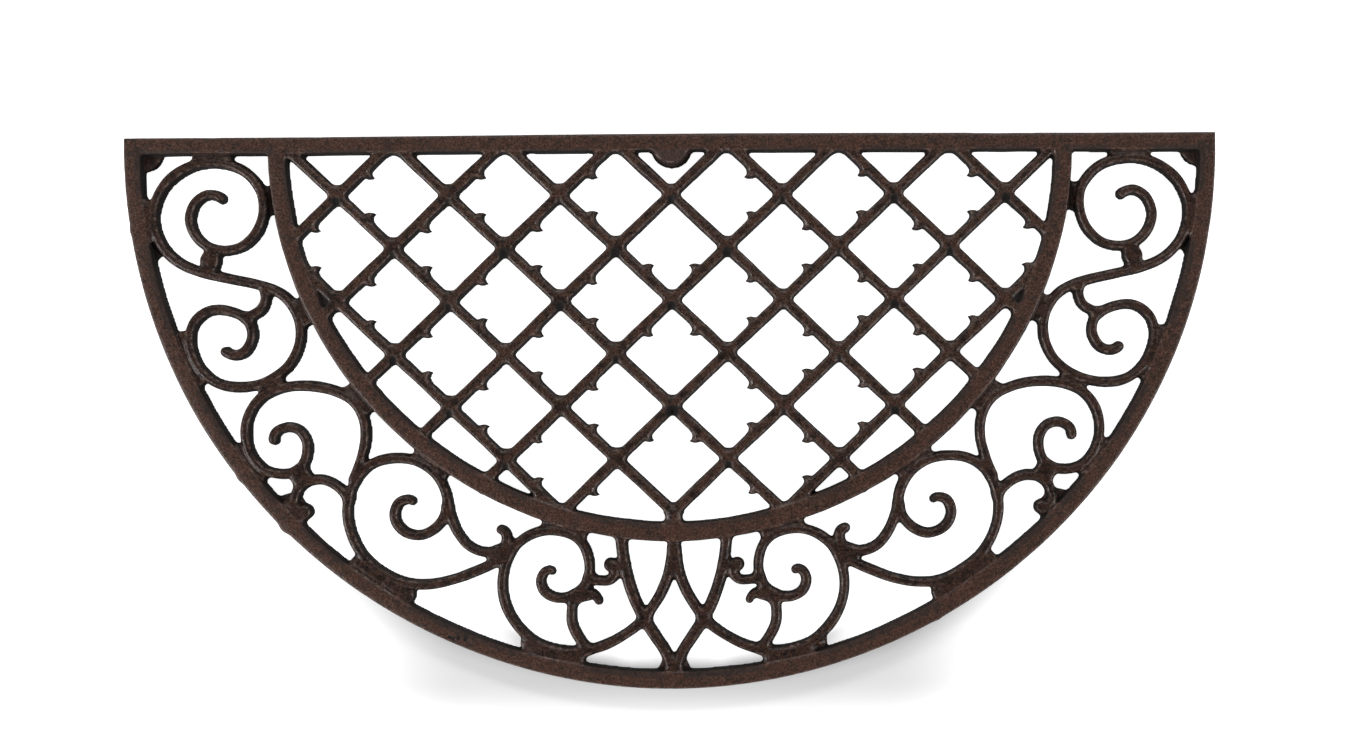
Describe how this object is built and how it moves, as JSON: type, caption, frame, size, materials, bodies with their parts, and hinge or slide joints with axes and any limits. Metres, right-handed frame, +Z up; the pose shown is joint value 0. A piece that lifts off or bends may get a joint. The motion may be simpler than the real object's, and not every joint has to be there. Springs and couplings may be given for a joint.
{
  "type": "half-round door mat",
  "caption": "Half-round openwork door mat: straight back bar, round rim, arched diamond lattice with thorns, scrollwork in the band between, low feet under the frame.",
  "frame": {"origin": "on the floor plane, under the middle of the mat's outline", "axes": "+X along the straight back bar, to the right when the mat is seen from above with its back bar at the top; +Y towards the back bar; +Z up, out of the tread face"},
  "size_m": [0.7228, 0.3672, 0.015],
  "materials": {
    "frame_iron": "dark brown, sand-cast grain worn smooth on top",
    "lattice_iron": "dark brown, sand-cast grain with shinier arrises",
    "scroll_iron": "dark brown, rounded and a little glossy along the ridges",
    "foot_iron": "dark brown, rough as cast"
  },
  "bodies": {
    "root": {"back_bar": "frame_iron", "outer_rim": "frame_iron", "inner_arch": "frame_iron", "lattice_panel": "lattice_iron", "back_foot_and_lug": "foot_iron", "branch_left": "scroll_iron", "branch_right": "scroll_iron", "corner_foot_left": "foot_iron", "corner_foot_right": "foot_iron", "fan_curl_left": "scroll_iron", "fan_curl_right": "scroll_iron", "fan_hook_left": "scroll_iron", "fan_hook_right": "scroll_iron", "fan_inner_arc_left": "scroll_iron", "fan_inner_arc_right": "scroll_iron", "fan_middle": "scroll_iron", "fan_outer_arc_left": "scroll_iron", "fan_outer_arc_right": "scroll_iron", "fan_scroll_left": "scroll_iron", "fan_scroll_right": "scroll_iron", "fan_stem_left": "scroll_iron", "fan_stem_right": "scroll_iron", "front_foot": "foot_iron", "leaf_stem_left": "scroll_iron", "leaf_stem_right": "scroll_iron", "lower_collar_left": "scroll_iron", "lower_collar_right": "scroll_iron", "lower_scroll_left": "scroll_iron", "lower_scroll_right": "scroll_iron", "middle_scroll_left": "scroll_iron", "middle_scroll_right": "scroll_iron", "rim_hook_left": "scroll_iron", "rim_hook_right": "scroll_iron", "scroll_link_left": "scroll_iron", "scroll_link_right": "scroll_iron", "side_foot_left": "foot_iron", "side_foot_right": "foot_iron", "side_scroll_left": "scroll_iron", "side_scroll_right": "scroll_iron", "upper_collar_left": "scroll_iron", "upper_collar_right": "scroll_iron"}
  },
  "joints": []
}
